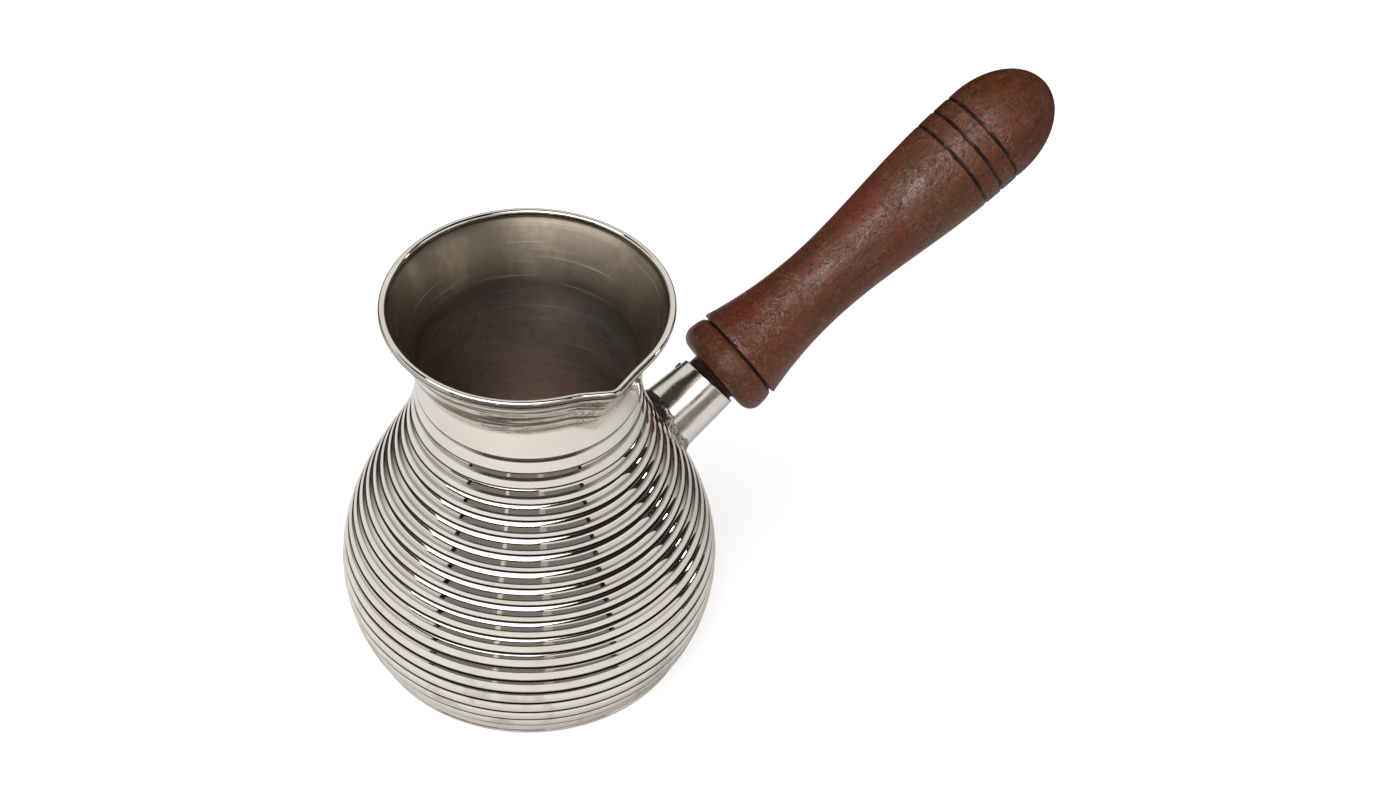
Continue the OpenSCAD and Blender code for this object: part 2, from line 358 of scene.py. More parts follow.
def wallStations():
    # lengths along the wall where its outside has a point, crowded towards the groove in each pitch
    pitch, steps, plainSteps = vessel["reedPitch"], vessel["reedSteps"], vessel["plainSteps"]
    stations = [0, reedsFrom * 0.5]
    for k in range(reedGaps + 1):
        for t in (i / steps for i in range(steps)):
            crowded = t + vessel["crowding"] * math.sin(2 * math.pi * t)
            stations.append(reedsFrom + pitch * k + pitch * crowded)
    return stations + [reedsTo + (wallLength - reedsTo) * i / plainSteps for i in range(plainSteps + 1)]


def outsidePoint(s):
    # (radius, height, tarnish, inside) at a length along the wall
    share = reedShare(s)
    top = smoothStep(reedsTo - vessel["topReach"], reedsTo, s)  # shallower and cleaner grooves at the top
    depth = vessel["grooveDepth"] * (1 - vessel["topShallow"] * top)
    p = crestAt(s) - outwardAt(s) * share * depth
    tarnish = share * (1 + vessel["lowTarnish"] * (1 - smoothStep(*vessel["lowZ"], p.y)))
    tarnish *= 1 - vessel["topThin"] * top
    seam = smoothStep(*(wallLength - below for below in vessel["seam"]), s)  # dark under the wire
    return p.x, p.y, max(tarnish, seam), 0.0


def insidePoint(s):
    p = crestAt(s) - outwardAt(s) * vessel["wall"]
    return p.x, min(p.y, mouthZ), 0.0, 1.0


def mouthShift(angle, z):
    # radial shift of the flare at an angle (degrees) and height
    turn = (angle - vessel["lipAngle"] + 180) % 360 - 180
    fuller = frontFlare["out"] * math.exp(-((z - frontFlare["z"]) / frontFlare["spread"]) ** 2)
    front = smoothStep(0, 1, lookUp(frontFlare["turns"], turn))
    return lookUp(mouthOut, turn) * smoothStep(*mouthFadeZ, z) + fuller * front


def shapeMouth(bm):
    # makes the wall a little uneven, as hand work is, and draws the flare into the pouring lip
    for vert in bm.verts:
        z = vert.co.z / mm
        spot = vert.co / mm
        wave = sum(size * noise.noise(spot * scale) for size, scale in vessel["waves"])
        vert.co.xy *= 1 + wave * smoothStep(*vessel["wavesFromZ"], z) / spot.xy.length
        if z > frontFlare["fromZ"]:
            r = vert.co.xy.length
            shift = mouthShift(math.degrees(math.atan2(vert.co.y, vert.co.x)), z) * mm
            vert.co.xy *= (r + shift) / r


def makeVessel(materials):
    bm = bmesh.new()
    grooveMark = bm.verts.layers.float.new("groove")
    insideMark = bm.verts.layers.float.new("inside")
    outline = [outsidePoint(s) for s in wallStations()]
    steps = vessel["insideSteps"]
    outline += [insidePoint(wallLength * (1 - i / steps)) for i in range(steps + 1)]
    turnAround(bm, profileChain(bm, outline, True, (grooveMark, insideMark)), lipStart, lipSpans)
    for face in bm.faces:
        face.material_index = int(all(vert[insideMark] > 0.5 for vert in face.verts))
    shapeMouth(bm)
    return finishPiece("vessel", bm, materials, "vessel_body")


def makeRim(materials):
    # half-round wire that follows the mouth, dark where it meets the vessel outside
    bm = bmesh.new()
    grooveMark = bm.verts.layers.float.new("groove")
    half, edge, power = rim["width"] / 2, rim["edge"], 2 / rim["roundness"]
    centre = vessel["mouthD"] / 2 - half
    section = []
    for i in range(rim["points"] + 1):
        a = math.pi * i / rim["points"]
        x, y = math.cos(a), math.sin(a)
        across = centre + half * math.copysign(abs(x) ** power, x)
        up = mouthZ + edge + (rim["height"] - edge) * y ** power
        section.append((across, up, float(i < rim["seamPoints"])))
    section += [(centre - half + edge, mouthZ, 0.0), (centre + half - edge, mouthZ, 1.0)]
    turnAround(bm, profileChain(bm, section, True, (grooveMark,)), lipStart, lipSpans)
    shapeMouth(bm)
    return finishPiece("rimWire", bm, materials, "rim_wire")


baseDisc = {"edgeRound": 0.8, "points": 8, "steps": 192, "marginBelow": 2.5, "marginAbove": 1.5}


def makeBase(materials):
    bm = bmesh.new()
    r, t, edge = crest[0].x, vessel["baseT"], baseDisc["edgeRound"]
    section = [(0, 0), (r / 2, 0), (r - baseDisc["marginBelow"], 0)]
    section += [(r - edge + edge * s, edge - edge * c) for s, c in quarterTurn(baseDisc["points"])]
    section += [(r, t), (r - baseDisc["marginAbove"], t), (r / 2, t), (0, t)]
    turnAround(bm, profileChain(bm, section, False), 0, [(360, baseDisc["steps"])])
    for face in bm.faces:  # the top is the pot's floor
        face.material_index = int(face.calc_center_median().z > (t - 0.01) * mm)
    return finishPiece("baseDisc", bm, materials, "base_disc")


# the handle's axis starts on the vessel's centre line at z and rises by tilt
handleAxis = {"tilt": 30, "z": 24.3}
leanOut = math.radians(90 - handleAxis["tilt"])
alongHandle = Matrix.Translation((0, 0, handleAxis["z"] * mm)) @ Matrix.Rotation(leanOut, 4, "Y")


def wallAlongAxis(x, y):
    # where a line beside the handle's axis, at x (down) and y (across), leaves the vessel's crest surface
    low, high = 0.0, vessel["bellyD"]
    for halving in range(26):
        middle = (low + high) / 2
        p = (alongHandle @ Vector((x * mm, y * mm, middle * mm))) / mm
        if math.hypot(p.x, p.y) > lookUp(radiusByHeight, p.z):
            high = middle
        else:
            low = middle
    return low


def growRings(steps, rows, spotOf, closed=False):
    # extrudes a circle row by row; spotOf gives the (radius, place along the axis) of a row at an angle
    bm = bmesh.new()
    ring = bmesh.ops.create_circle(bm, segments=steps, radius=1, cap_ends=False)["verts"]
    firstEdges = edges = bm.edges[:]
    for number, row in enumerate(rows):
        if number:
            grown = bmesh.ops.extrude_edge_only(bm, edges=edges)["geom"]
            ring = vertsIn(grown)
            edges = [g for g in grown if isinstance(g, bmesh.types.BMEdge)]
            edges = [edge for edge in edges if all(vert in ring for vert in edge.verts)]
        for vert in ring:
            a = math.atan2(vert.co.y, vert.co.x)
            r, z = spotOf(a, *row)
            vert.co = (r * math.cos(a) * mm, r * math.sin(a) * mm, z * mm)
    if closed:
        bmesh.ops.bridge_loops(bm, edges=edges + firstEdges)
    bmesh.ops.recalc_face_normals(bm, faces=bm.faces)
    bmesh.ops.transform(bm, matrix=alongHandle, verts=bm.verts)
    return bm


socket = {"length": 14.1, "rootD": 16.6, "mouthD": 14.7, "wall": 0.9, "sink": 0.6, "mouthSlant": 0.8,
          "slantTurn": 54, "edge": 0.12, "uneven": 0.07, "steps": 120, "rings": 24}
rootAt = wallAlongAxis(0, 0)  # places along the handle's axis
socketEnd = rootAt + socket["length"]


def socketRadius(s):
    return (socket["rootD"] + (socket["mouthD"] - socket["rootD"]) * (s - rootAt) / socket["length"]) / 2


def socketSpot(a, along, inward):
    # along runs from the vessel (0) to the mouth (1), inward from the outside (0) to the bore (1)
    c, s = math.cos(a), math.sin(a)
    root = wallAlongAxis(socket["rootD"] / 2 * c, socket["rootD"] / 2 * s) - socket["sink"]
    mouth = socketEnd + socket["mouthSlant"] * math.cos(a + math.radians(socket["slantTurn"]))
    z = root + (mouth - root) * along
    if along == 1:
        z -= socket["edge"] * abs(2 * inward - 1)
    wave = socket["uneven"] * noise.noise(Vector((3 * c, 3 * s, z * 0.18))) * (1 - inward)
    return socketRadius(z) - inward * socket["wall"] + wave, z


def makeSocket(materials):
    # tapered tube: outside from the vessel to the mouth, over the edge, and back inside
    rows = [(i / socket["rings"], 0) for i in range(socket["rings"] + 1)]
    rows += [(1, 0.3), (1, 0.7), (1, 1), (0.6, 1), (0.2, 1)]
    bm = growRings(socket["steps"], rows, socketSpot)
    return finishPiece("handleSocket", bm, materials, "handle_socket")


solder = {"width": 1.2, "height": 2.2, "lump": 0.42, "ragged": 0.35, "runOut": 1.6, "climb": 1.7,
          "bite": 0.15, "sunk": 0.1, "rooted": 0.55, "rings": 9, "steps": 160}


def solderSpot(a, t, under):
    # t runs from the socket (0) to the outer edge of the seam (1)
    c, s = math.cos(a), math.sin(a)
    spot = Vector((6 * c, 6 * s, 2.5 * t))
    lump = noise.noise(spot) + 0.6 * noise.noise(spot * 2.3)
    width = solder["width"] * (1 + solder["ragged"] * noise.noise(Vector((2 * c, 2 * s, 7))))
    r = socket["rootD"] / 2 + width * t ** solder["runOut"] - solder["bite"]
    lift = solder["height"] * (1 - t) ** solder["climb"]
    lift += solder["lump"] * lump * math.sin(math.pi * min(t + 0.15, 1))
    depth = solder["rooted"] if under or t == 1 else solder["sunk"]
    return r, wallAlongAxis(r * c, r * s) + (0 if under else lift) - depth


def makeSolder(materials):
    # fillet that climbs the socket, runs out on the reeds and closes under them
    rows = [(i / solder["rings"], False) for i in range(solder["rings"] + 1)] + [(0.7, True), (0.0, True)]
    bm = growRings(solder["steps"], rows, solderSpot, closed=True)
    return finishPiece("socketSolder", bm, materials, "socket_solder")


handle = {"gap": 1.7, "length": 105.8, "tenon": 10, "tenonPlay": 0.05, "tenonEdge": 0.5, "tenonDark": 0.75,
          "collarD": 24.8, "collarW": 7.3, "collarFront": 0.45, "collarFall": 0.08, "collarGroove": 1.4,
          "grooveDark": (0.1, 0.45), "shoulderD": 24.6, "hollow": 0.32, "waistD": 18.3, "waistX": 34,
          "bulbD": 25, "bulbX": 82, "tip": 17.8, "hollowPull": 0.48, "waistPull": 0.72, "risePull": 0.31,
          "bulbPull": 0.37, "rings": 3, "ringX": 76, "ringPitch": 4.9, "ringW": 0.6, "ringDepth": 0.42,
          "ringSteps": (0.15, 0.3, 0.44, 0.58, 0.75), "ringClear": 0.85, "ringDark": (0.26, 0.58),
          "outOfTrue": 0.006, "ringWander": 0.14, "steps": 144}
collarAt = socketEnd + handle["gap"]
collarR = handle["collarD"] / 2
grooveX = handle["collarW"] + handle["collarGroove"] / 4
shoulderR, shoulderX = handle["shoulderD"] / 2, handle["collarW"] + handle["collarGroove"] / 2


def collarLine():
    # tenon, collar bead and the groove behind it, as (radius, place from the collar's face)
    width, front = handle["collarW"], handle["collarW"] * handle["collarFront"]
    fall = collarR * handle["collarFall"]
    tenonR = socket["mouthD"] / 2 - socket["wall"] - handle["tenonPlay"]
    endX = -handle["gap"] - handle["tenon"]
    sideX, stopX = endX + handle["tenonEdge"], -0.3
    line = [(0, endX), (tenonR - handle["tenonEdge"], endX), (tenonR, sideX)]
    line += [(tenonR, sideX + (stopX - sideX) * i / 6) for i in range(1, 7)]
    line += [(tenonR + 0.25, 0.0), (tenonR + 1.2, 0.0)]
    line += [(collarR - front * (1 - s), front * (1 - c)) for s, c in quarterTurn(12)]
    line += [(collarR - fall * (1 - c), front + (width - front) * s) for s, c in quarterTurn(10, 1)]
    grooveR = collarR - handle["collarGroove"]
    line += [(grooveR + 0.35, width + 0.12), (grooveR, grooveX - 0.1), (grooveR, grooveX + 0.1)]
    return line + [(shoulderR - 0.12, shoulderX - 0.06), (shoulderR - 0.02, shoulderX + 0.1)]


def gripLine():
    # shoulder, waist, bulb and domed end, as (radius, place)
    waistR, waistX = handle["waistD"] / 2, handle["waistX"]
    bulbR, bulbX, tip = handle["bulbD"] / 2, handle["bulbX"], handle["tip"]
    hollowR = shoulderR - (handle["shoulderD"] - handle["waistD"]) * handle["hollow"]
    span = bulbX - waistX
    fallPulls = [(shoulderR, shoulderX), (hollowR, waistX * handle["hollowPull"]),
                 (waistR, waistX * handle["waistPull"]), (waistR, waistX)]
    risePulls = [(waistR, waistX), (waistR, waistX + span * handle["risePull"]),
                 (bulbR, bulbX - span * handle["bulbPull"]), (bulbR, bulbX)]
    line = bezierPoints(fallPulls, 30)[1:] + bezierPoints(risePulls, 50)
    return line + [(bulbR * c, handle["length"] - tip + tip * s) for s, c in quarterTurn(40)]


def unsteadyHand(bm, cutMark, scribedMark):
    # the grip is a little out of true, and its rings are scribed by an unsteady point
    for vert in bm.verts:
        spot = vert.co / mm
        if spot.z > collarAt:
            r = max(spot.xy.length, 0.01)
            sway = noise.noise(Vector((spot.x * 0.09, spot.y * 0.09, spot.z * 0.05)))
            around = Vector((spot.x / r * 3.2, spot.y / r * 3.2, round(spot.z / handle["ringPitch"]) * 5.0))
            press = min(1.0, max(0.45, 0.95 + 0.9 * noise.noise(around * 1.7)))  # of the point on the wood
            radius = r * (1 + handle["outOfTrue"] * sway) - vert[scribedMark] * press
            if vert[scribedMark] > 0:
                vert[cutMark] *= press
                vert.co.z += handle["ringWander"] * noise.noise(around * 2.6) * mm
            vert.co.xy *= radius / r


def makeHandle(materials):
    bm = bmesh.new()
    cutMark = bm.verts.layers.float.new("cut")
    scribedMark = bm.verts.layers.float.new("scribed")
    grip = gripLine()
    radiusAt = [(x, r) for r, x in grip]
    rings = [handle["ringX"] + handle["ringPitch"] * i for i in range(handle["rings"])]
    line = [(r, x, 0.0) for r, x in grip if all(abs(x - ring) > handle["ringClear"] for ring in rings)]
    offsets = [0] + [side * step for step in handle["ringSteps"] for side in (-1, 1)]
    for ring in rings:
        for offset in offsets:
            depth = handle["ringDepth"] * (1 - smoothStep(0.0, handle["ringW"], abs(offset)))
            line.append((lookUp(radiusAt, ring + offset), ring + offset, depth))
    line.sort(key=lambda point: point[1])
    marked = []
    for r, x, depth in [(r, x, 0.0) for r, x in collarLine()] + line:
        darks = [1 - smoothStep(*handle["ringDark"], abs(x - ring)) for ring in rings]
        darks.append(1 - smoothStep(*handle["grooveDark"], abs(x - grooveX)))
        darks.append(handle["tenonDark"] if x < 0.05 else 0.0)
        marked.append((max(r, 0), x + collarAt, max(darks), depth))
    turnAround(bm, profileChain(bm, marked, False, (cutMark, scribedMark)), 0, [(360, handle["steps"])])
    unsteadyHand(bm, cutMark, scribedMark)
    bmesh.ops.transform(bm, matrix=alongHandle, verts=bm.verts)
    return finishPiece("woodHandle", bm, materials, "wood_handle")


pin = {"d": 1.8, "inset": 3.2, "turn": 54, "proud": 0.3, "sunk": 0.1, "edge": 0.25, "segments": 32}


def makePin(materials):
    # stands proud at its upper end and is filed flush with the socket at its lower end
    bm = bmesh.new()
    r, s = pin["d"] / 2 * mm, socketEnd - pin["inset"]
    top, bottom = socketRadius(s) + pin["proud"], socketRadius(s) - pin["sunk"]
    bmesh.ops.create_cone(bm, cap_ends=True, segments=pin["segments"], radius1=r, radius2=r,
                          depth=(top + bottom) * mm)
    rims = [e for e in bm.edges if abs(e.verts[0].co.z - e.verts[1].co.z) < 1e-9]
    bmesh.ops.bevel(bm, geom=rims, offset=pin["edge"] * mm, offset_type="OFFSET", affect="EDGES",
                    segments=3, profile=0.5, material=-1)
    turned = Matrix.Rotation(math.radians(-pin["turn"]), 4, "Z") @ Matrix.Rotation(math.radians(90), 4, "Y")
    shifted = Matrix.Translation((0, 0, (bottom - top) / 2 * mm))
    across = Matrix.Translation((0, 0, s * mm)) @ turned @ shifted
    bmesh.ops.transform(bm, matrix=alongHandle @ across, verts=bm.verts)
    return finishPiece("handlePin", bm, materials, "handle_pin")


# effects that the finishes share
def wearGroup():
    # fine random scratches and soft blotches
    numbers = {"Scratch Scale": 300, "Blotch Scale": 60}
    tree, given, out = newGroup("wearMarks", numbers, ["Scratches", "Blotches"])
    scratches = None
    for turn, stretch in ((0.4, 0.05), (1.7, 0.04), (2.6, 0.06)):
        spread = addNode(tree, "ShaderNodeMapping", {"Vector": given["Vector"], "Scale": (1, stretch, 1),
                                                     "Rotation": (turn, turn * 1.7, turn * 0.6)}).outputs[0]
        thin = mapRange(tree, addNoise(tree, spread, given["Scratch Scale"]), 0.66, 0.74)
        scratches = thin if scratches is None else addMath(tree, "MAXIMUM", scratches, thin)
    blotches = mapRange(tree, addNoise(tree, given["Vector"], given["Blotch Scale"], 5, 0.6), 0.35, 0.7)
    plug(tree, out, {"Scratches": scratches, "Blotches": blotches})
    return tree


def spunGroup():
    # fine rings left by spinning round the pot's centre line; Along is how much they change on their way
    numbers = {"Ring Scale": 900, "Along": 0.02, "Detail": 3}
    tree, given, out = newGroup("spunRings", numbers, ["Rings", "Bright Lines"])
    parts = addNode(tree, "ShaderNodeSeparateXYZ", {0: given["Vector"]}).outputs
    level = addNode(tree, "ShaderNodeCombineXYZ", {"X": parts["X"], "Y": parts["Y"]}).outputs[0]
    x, y = (times(tree, parts[axis], given["Along"]) for axis in "XY")
    z = addMath(tree, "ADD", parts["Z"], lengthOf(tree, level))
    flat = addNode(tree, "ShaderNodeCombineXYZ", {"X": x, "Y": y, "Z": z}).outputs[0]
    rings = addNoise(tree, flat, given["Ring Scale"], given["Detail"])
    plug(tree, out, {"Rings": rings, "Bright Lines": mapRange(tree, rings, 0.62, 0.72)})
    return tree


wearMarks, spunRings = wearGroup(), spunGroup()

silver = {"colour": (0.89, 0.835, 0.76), "tint": (0.81, 0.75, 0.67), "oxide": (0.012, 0.01, 0.008),
          "stain": (0.5, 0.45, 0.38), "paintedReflection": (0.075, 0.07, 0.062), "polished": 0.03, "worn": 0.13,
          "stainZ": (36, 16), "flareZ": (85.5, 88)}


def silverMaterial(name, polish, seams=False, spunFlare=False):
    material, tree, shader = newMaterial(name)
    place = objectPlace(tree)
    wear = useGroup(tree, wearMarks, {"Vector": place, "Scratch Scale": 2200, "Blotch Scale": 70})
    colour = addMix(tree, wear["Blotches"], silver["colour"], silver["tint"])
    rough = timesPlus(tree, wear["Blotches"], polish, polish)
    rough = timesPlus(tree, wear["Scratches"], 0.1, rough)
    normal = addBump(tree, times(tree, wear["Scratches"], -1), 0.05, 0.05)
    if spunFlare:
        # stains low on the belly, and on the flare dark streaked rings that are a painted reflection of the
        # reeds
        height = upward(tree, place)
        low, flare = (zoneMask(tree, height, silver[zone]) for zone in ("stainZ", "flareZ"))
        stain = times(tree, mapRange(tree, addNoise(tree, place, 130, 4, 0.6), 0.52, 0.66), low)
        colour = tinted(tree, colour, silver["stain"], stain, 0.6)
        rough = timesPlus(tree, stain, 0.16, rough)
        spun = useGroup(tree, spunRings, {"Vector": place, "Ring Scale": 640, "Along": 0.07, "Detail": 1.5})
        # painted reflection: dark rings on the flare where the reeds would be mirrored
        streaks = mapRange(tree, spun["Rings"], 0.53, 0.46)
        colour = tinted(tree, colour, silver["paintedReflection"], streaks, flare, 0.86)
        normal = addBump(tree, times(tree, spun["Rings"], flare), 1, 0.05, normal)
    if seams:
        dark = mapRange(tree, storedMask(tree, "groove"), 0.6, 0.78)
        colour = addMix(tree, dark, colour, silver["oxide"])
        rough = timesPlus(tree, dark, 0.4, rough, clamp=True)
    plug(tree, shader, {"Base Color": colour, "Roughness": rough, "Metallic": 1, "Normal": normal})
    return material


inner = {"light": (0.365, 0.303, 0.234), "side": (0.26, 0.215, 0.178), "neck": (0.26, 0.214, 0.184),
         "deep": (0.58, 0.49, 0.43), "paintedHighlight": (0.56, 0.46, 0.33), "grime": (0.24, 0.2, 0.17),
         "ring": (0.76, 0.69, 0.6), "neckZ": (78.5, 85.2), "flareZ": (85.2, 88), "seamZ": (98.1, 98.5),
         "back": (0.4, 0.92, 0), "backReach": (-2, 20)}


def innerMaterial():
    material, tree, shader = newMaterial("tarnishedInside")
    place = objectPlace(tree)
    wear = useGroup(tree, wearMarks, {"Vector": place, "Scratch Scale": 2000, "Blotch Scale": 45})
    spun = useGroup(tree, spunRings, {"Vector": place, "Ring Scale": 1400})
    height = upward(tree, place)
    uneven = timesPlus(tree, wear["Blotches"], 0.002, height)
    # painted shade: a dark band just under the flare, darkest at the neck, with the lower inside paler
    neck, flare = (zoneMask(tree, uneven, inner[zone]) for zone in ("neckZ", "flareZ"))
    # painted light and shade: the back of the flare is pale where the light falls on it, and its sides
    # darker
    back = zoneMask(tree, dotWith(tree, place, inner["back"]), inner["backReach"])
    paintedLitBack = addMix(tree, back, inner["side"], inner["light"])
    colour = addMix(tree, flare, addMix(tree, neck, inner["deep"], inner["neck"]), paintedLitBack)
    grime = mapRange(tree, addNoise(tree, place, 420, 6, 0.75), 0.45, 0.7)
    colour = tinted(tree, colour, inner["grime"], grime, 0.5)
    colour = tinted(tree, colour, inner["ring"], spun["Bright Lines"], 0.8)
    # painted highlight: pale vertical streaks on the back of the flare, in place of the light's streaked
    # reflection
    highlightStreaks = addNoise(tree, drawnOut(tree, place, (1, 1, 0.28)), 115, 5, 0.65)
    colour = tinted(tree, colour, inner["paintedHighlight"], mapRange(tree, highlightStreaks, 0.5, 0.68), flare, back, 0.55)
    colour = addMix(tree, zoneMask(tree, height, inner["seamZ"]), colour, silver["oxide"])
    rough = timesPlus(tree, wear["Blotches"], 0.1, 0.36)
    normal = addBump(tree, spun["Rings"], 0.25, 0.15)
    around = addNode(tree, "ShaderNodeTangent", direction_type="RADIAL", axis="Z").outputs[0]
    plug(tree, shader, {"Base Color": colour, "Roughness": rough, "Metallic": 1, "Normal": normal,
                        "Tangent": around, "Anisotropic": 0.75, "Anisotropic Rotation": 0.25})
    return material


seamMetal = {"bright": (0.66, 0.62, 0.56), "dull": (0.22, 0.2, 0.17), "pit": (0.02, 0.017, 0.014)}


def solderMaterial():
    material, tree, shader = newMaterial("dullSolder")
    place = objectPlace(tree)
    wear = useGroup(tree, wearMarks, {"Vector": place, "Scratch Scale": 2500, "Blotch Scale": 420})
    cells = addNode(tree, "ShaderNodeTexVoronoi", {"Vector": place, "Scale": 900}).outputs["Distance"]
    sound = mapRange(tree, cells, 0.12, 0.34)  # 0 in a pit
    colour = addMix(tree, wear["Blotches"], seamMetal["bright"], seamMetal["dull"])
    colour = addMix(tree, sound, seamMetal["pit"], colour)
    rough = timesPlus(tree, wear["Blotches"], 0.3, 0.16)
    normal = addBump(tree, addMath(tree, "ADD", sound, wear["Blotches"]), 0.5, 0.2)
    plug(tree, shader, {"Base Color": colour, "Roughness": rough, "Metallic": 1, "Normal": normal})
    return material


wood = {"dark": (0.053, 0.014, 0.007), "mid": (0.136, 0.034, 0.0155), "light": (0.205, 0.056, 0.027),
        "worn": (0.15, 0.075, 0.043), "olive": (0.105, 0.046, 0.02), "cut": (0.008, 0.004, 0.003),
        "red": (0.165, 0.031, 0.014), "scratch": (0.26, 0.13, 0.08), "paintedGlint": (0.3, 0.14, 0.08),
        "handled": (0.2, 0.074, 0.037), "oliveX": 66, "oliveReach": 22, "handledX": (34, 8)}


def woodMaterial():
    material, tree, shader = newMaterial("turnedWood")
    start = (0, 0, handleAxis["z"] * mm)
    axis = {"Vector": objectPlace(tree), "Location": start, "Rotation": (0, leanOut, 0)}
    local = addNode(tree, "ShaderNodeMapping", axis, vector_type="TEXTURE").outputs[0]
    along = upward(tree, local)
    wear = useGroup(tree, wearMarks, {"Vector": local, "Scratch Scale": 1800, "Blotch Scale": 55})
    # grain, pores and red patches
    streaks = drawnOut(tree, local, (1, 1, 0.07))
    grain = addNoise(tree, streaks, 900, 6, 0.65)
    figure = addNoise(tree, streaks, 160, 3, distortion=0.6)
    tone = timesPlus(tree, figure, 0.6, times(tree, grain, 0.4))
    colour = addRamp(tree, tone, [(0.36, wood["dark"]), (0.5, wood["mid"]), (0.66, wood["light"])])
    pore = mapRange(tree, addNoise(tree, drawnOut(tree, local, (1, 1, 0.11)), 1700), 0.62, 0.7)
    patches = addNoise(tree, local, 38, 3, 0.55)
    colour = tinted(tree, colour, wood["red"], mapRange(tree, patches, 0.52, 0.38), 0.6)
    # olive patches, most of them on the bulb
    offBulb = addMath(tree, "ABSOLUTE", addMath(tree, "SUBTRACT", along, (collarAt + wood["oliveX"]) * mm))
    bulb = addMath(tree, "SUBTRACT", 1, times(tree, offBulb, 1 / (wood["oliveReach"] * mm)), clamp=True)
    bulbShare = timesPlus(tree, bulb, 0.6, 0.2)
    colour = tinted(tree, colour, wood["olive"], mapRange(tree, patches, 0.4, 0.6), bulbShare)
    # worn varnish, scratches, fine skin and dents
    skin = addNoise(tree, local, 1250, 4, 0.65)
    dent = mapRange(tree, addNoise(tree, local, 620, 3, 0.6), 0.6, 0.68)
    colour = tinted(tree, colour, wood["worn"], wear["Blotches"], 0.25)
    colour = tinted(tree, colour, wood["dark"], pore, 0.45)
    colour = tinted(tree, colour, wood["scratch"], wear["Scratches"], 0.3)
    colour = tinted(tree, colour, wood["dark"], mapRange(tree, skin, 0.52, 0.42), 0.45)
    colour = tinted(tree, colour, wood["dark"], dent, 0.5)
    # a worn tint behind the collar, and painted glints: pale flecks that stand in for light caught by pits,
    # most of all in rubbed patches and behind the collar
    handled = zoneMask(tree, along, [collarAt + x for x in wood["handledX"]])
    rubbed = mapRange(tree, addNoise(tree, local, 150, 3, 0.6), 0.5, 0.6)
    paintedGlint = mapRange(tree, addNoise(tree, local, 1000, 4, 0.6), 0.53, 0.64)
    paintedGlintShare = timesPlus(tree, addMath(tree, "MAXIMUM", rubbed, handled), 0.4, 0.06)
    colour = tinted(tree, colour, wood["handled"], handled, 0.2)
    colour = tinted(tree, colour, wood["paintedGlint"], paintedGlint, paintedGlintShare)
    colour = addMix(tree, storedMask(tree, "cut"), colour, wood["cut"])
    rough = timesPlus(tree, wear["Blotches"], 0.2, timesPlus(tree, handled, -0.05, 0.23))
    height = timesPlus(tree, pore, -0.5, times(tree, grain, 0.4))
    height = addMath(tree, "SUBTRACT", height, wear["Scratches"])
    height = timesPlus(tree, skin, timesPlus(tree, rubbed, 1.6, 1.1), height)
    height = timesPlus(tree, dent, -2.0, height)
    plug(tree, shader, {"Base Color": colour, "Roughness": rough, "Specular IOR Level": 0.22,
                        "Normal": addBump(tree, height, 0.45, 0.3)})
    return material


pinMetal = {"bright": (0.2, 0.18, 0.15), "dark": (0.05, 0.042, 0.035)}


def pinMaterial():
    material, tree, shader = newMaterial("darkPin")
    place = objectPlace(tree)
    wear = useGroup(tree, wearMarks, {"Vector": place, "Scratch Scale": 600, "Blotch Scale": 500})
    colour = addMix(tree, wear["Blotches"], pinMetal["bright"], pinMetal["dark"])
    rough = timesPlus(tree, wear["Scratches"], 0.2, 0.4)
    plug(tree, shader, {"Base Color": colour, "Roughness": rough, "Metallic": 1})
    return material


reeded = silverMaterial("reededSilver", silver["polished"], seams=True, spunFlare=True)
seamed = silverMaterial("seamedSilver", silver["polished"], seams=True)
plain = silverMaterial("plainSilver", silver["polished"])
worn = silverMaterial("wornSilver", silver["worn"])
inside = innerMaterial()
print("materials made")
makeVessel([reeded, inside])
rimPiece = makeRim([seamed])
makeBase([plain, inside])
socketPiece = makeSocket([worn])
makeSolder([solderMaterial()])
woodPiece = makeHandle([woodMaterial()])
makePin([pinMaterial()])

# studio: pale floor, soft overhead light, a big key lamp, a small window and a screen behind the camera
studio = {"floor": 6, "floorColour": 0.8, "floorToCamera": 0.64, "tableReach": 0.6,
          "tableEdge": (0.07, 0.058, 0.046), "tableBack": (0.02, 0.018, 0.015),
          "roomBack": (0.045, 0.043, 0.04), "viewer": (-0.5, -0.866, 0), "front": (0.55, 0.8),
          "behind": (-0.3, -0.65),
          "skyLeft": 1.16, "skyRight": 1.22, "cardColour": (1, 0.98, 0.95, 1), "aimZ": 50,
          "screenSpan": (-5.5, 19.5), "screenShade": 0.2, "black": 0.005}


